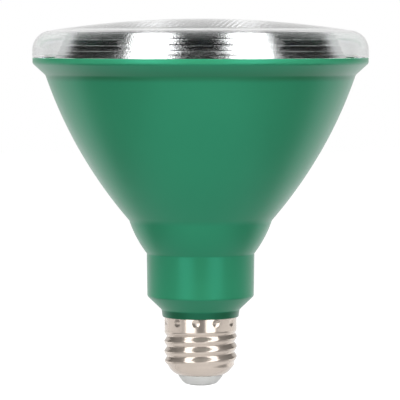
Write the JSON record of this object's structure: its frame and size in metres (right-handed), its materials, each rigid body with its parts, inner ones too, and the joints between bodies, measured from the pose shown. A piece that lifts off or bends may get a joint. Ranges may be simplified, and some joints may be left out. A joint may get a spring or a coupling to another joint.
{
  "type": "par spotlight bulb",
  "caption": "Flood lamp bulb with a clear domed lens, a green conical housing and a nickel screw base, with its reflector, lamp board and driver inside.",
  "frame": {"origin": "centre of the end contact's flat face, the lowest point of the lamp", "axes": "+Z along the lamp's axis from the base to the lens, +X to the right as the picture shows it, -Y to the camera"},
  "size_m": [0.1206, 0.1206, 0.1317],
  "materials": {
    "clear_plastic": "clear moulded polycarbonate, gloss",
    "green_plastic": "green moulded plastic, satin",
    "mirror_coating": "vacuum coated plastic, mirror bright",
    "silicone": "pale silicone, satin",
    "aluminium_sheet": "pressed aluminium, satin",
    "pad_grey": "soft gap pad, matt",
    "white_board": "white solder mask on an aluminium core",
    "led_body": "white lamp package with a clear dome",
    "steel": "plated steel screws",
    "black_rubber": "soft black rubber",
    "red_insulation": "wire insulation",
    "black_insulation": "wire insulation",
    "white_insulation": "wire insulation",
    "driver_laminate": "glass-fibre laminate",
    "film_yellow": "moulded capacitor box",
    "can_sleeve": "shrink sleeve on an aluminium can",
    "varistor_blue": "dipped epoxy coating",
    "resistor_green": "cement coating",
    "ferrite": "fired ferrite, matt",
    "copper": "enamelled copper wire",
    "winding_tape": "yellow polyester tape over the winding",
    "bobbin_plastic": "black moulded former",
    "chip_plastic": "black moulded package",
    "nickel": "nickel-plated brass, bright",
    "insulator_plastic": "pale moulded plastic"
  },
  "bodies": {
    "root": {"front_lens": "clear_plastic", "lens_seal": "silicone", "reflector": "mirror_coating", "housing": "green_plastic", "heat_sink": "aluminium_sheet", "thermal_pad": "pad_grey", "led_board": "white_board", "board_screws": "steel", "wire_grommet": "black_rubber", "led_wire_red": "red_insulation", "led_wire_black": "black_insulation", "driver_board": "driver_laminate", "film_capacitor": "film_yellow", "bulk_capacitor": "can_sleeve", "output_capacitor": "can_sleeve", "varistor": "varistor_blue", "fusible_resistor": "resistor_green", "choke_core": "ferrite", "choke_winding": "copper", "transformer_core": "ferrite", "transformer_bobbin": "bobbin_plastic", "transformer_winding": "winding_tape", "bridge_rectifier": "chip_plastic", "driver_chip": "chip_plastic", "output_diode": "chip_plastic", "live_wire": "black_insulation", "neutral_wire": "white_insulation", "screw_shell": "nickel", "base_insulator": "insulator_plastic", "centre_contact": "nickel", "led_01": "led_body", "led_02": "led_body", "led_03": "led_body", "led_04": "led_body", "led_05": "led_body", "led_06": "led_body", "led_07": "led_body", "led_08": "led_body", "led_09": "led_body", "led_10": "led_body", "led_11": "led_body", "led_12": "led_body"}
  },
  "joints": []
}
